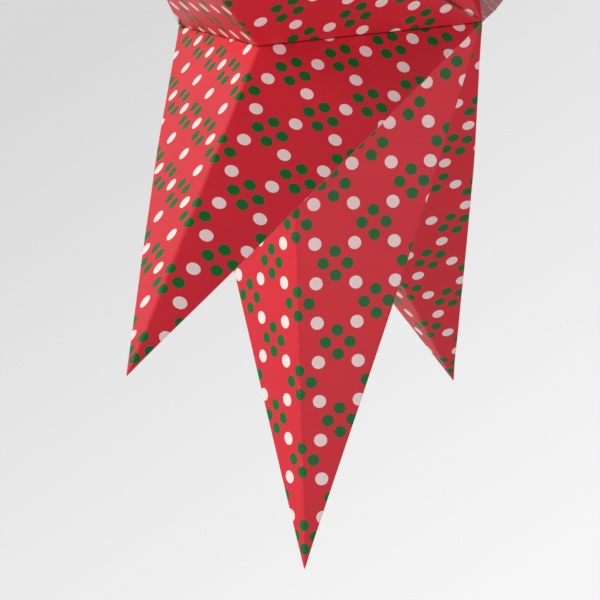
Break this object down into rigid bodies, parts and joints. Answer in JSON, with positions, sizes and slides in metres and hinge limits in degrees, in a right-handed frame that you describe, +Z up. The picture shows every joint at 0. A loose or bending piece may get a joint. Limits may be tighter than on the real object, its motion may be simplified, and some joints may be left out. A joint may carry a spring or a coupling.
{
  "type": "folded paper star",
  "caption": "Hanging star of folded, printed card: long hollow points, glued edge to edge round a small opening in the centre of each side.",
  "frame": {"origin": "the top notch, where the folds of the two uppermost points would meet, at the middle of the cord opening", "axes": "+Z up along the cord, +Y along the star's axis from its front centre to its back centre, +X across the star"},
  "size_m": [0.6894, 0.2128, 0.6619],
  "materials": {
    "printed_card": "matt red card printed with white dots and clusters of four green dots"
  },
  "bodies": {
    "root": {"point_1": "printed_card", "point_2": "printed_card", "point_3": "printed_card", "point_4": "printed_card", "point_5": "printed_card", "point_6": "printed_card", "point_7": "printed_card"}
  },
  "joints": []
}
